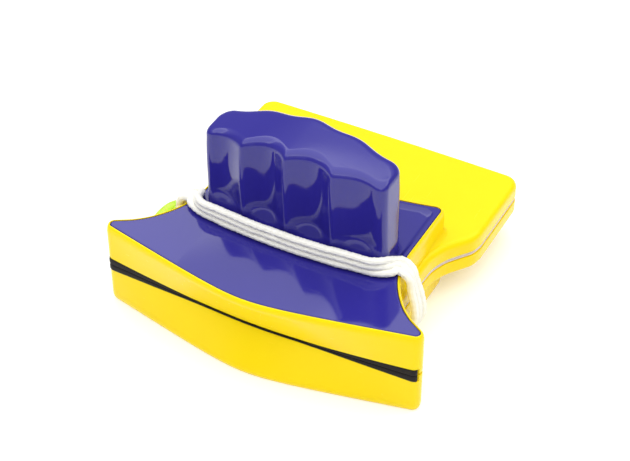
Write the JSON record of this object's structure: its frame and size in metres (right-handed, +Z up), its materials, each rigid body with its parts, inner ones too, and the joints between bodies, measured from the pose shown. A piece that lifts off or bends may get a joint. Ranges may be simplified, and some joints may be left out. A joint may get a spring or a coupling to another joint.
{
  "type": "magnetic glass cleaner",
  "caption": "Magnetic glass cleaner: hourglass-shaped halves with magnets, wiping pads and rubber blades, a finger-grooved grip, and a wound safety cord with a finger ring.",
  "frame": {"origin": "middle of the base, under the middle of the whole cleaner without its cord", "axes": "+X to the right along the wide wiping edge, +Y from the wiping edge to the flange, +Z up through the grip"},
  "size_m": [0.135, 0.127, 0.083],
  "materials": {
    "yellow_plastic": "glossy",
    "blue_plastic": "glossy",
    "blade_rubber": "satin",
    "cloth": "matt",
    "sponge": "matt",
    "magnet": "satin",
    "keeper_steel": "satin",
    "screw_steel": "satin",
    "cord_cotton": "matt",
    "ring_plastic": "translucent"
  },
  "bodies": {
    "lower_half": {"lower_frame": "yellow_plastic", "lower_cover": "blue_plastic", "lower_front_magnet": "magnet", "lower_front_keeper_plate": "keeper_steel", "lower_rear_magnet": "magnet", "lower_rear_keeper_plate": "keeper_steel", "lower_pad_sponge": "sponge", "lower_pad_cloth": "cloth", "lower_blade": "blade_rubber", "lower_screw_1": "screw_steel", "lower_screw_2": "screw_steel", "lower_screw_3": "screw_steel", "lower_screw_4": "screw_steel", "safety_cord": "cord_cotton", "finger_ring": "ring_plastic", "cord_knot": "cord_cotton"},
    "upper_half": {"upper_frame": "yellow_plastic", "grip_cover": "blue_plastic", "upper_front_magnet": "magnet", "upper_front_keeper_plate": "keeper_steel", "upper_rear_magnet": "magnet", "upper_rear_keeper_plate": "keeper_steel", "upper_pad_sponge": "sponge", "upper_pad_cloth": "cloth", "upper_blade": "blade_rubber", "upper_screw_1": "screw_steel", "upper_screw_2": "screw_steel", "upper_screw_3": "screw_steel", "upper_screw_4": "screw_steel"}
  },
  "joints": [
    {"name": "upper_half_lift", "type": "slide", "parent": "lower_half", "child": "upper_half", "axis": [0, 0, 1], "range_m": [0, 0.008], "deforming": ["safety_cord"]}
  ]
}
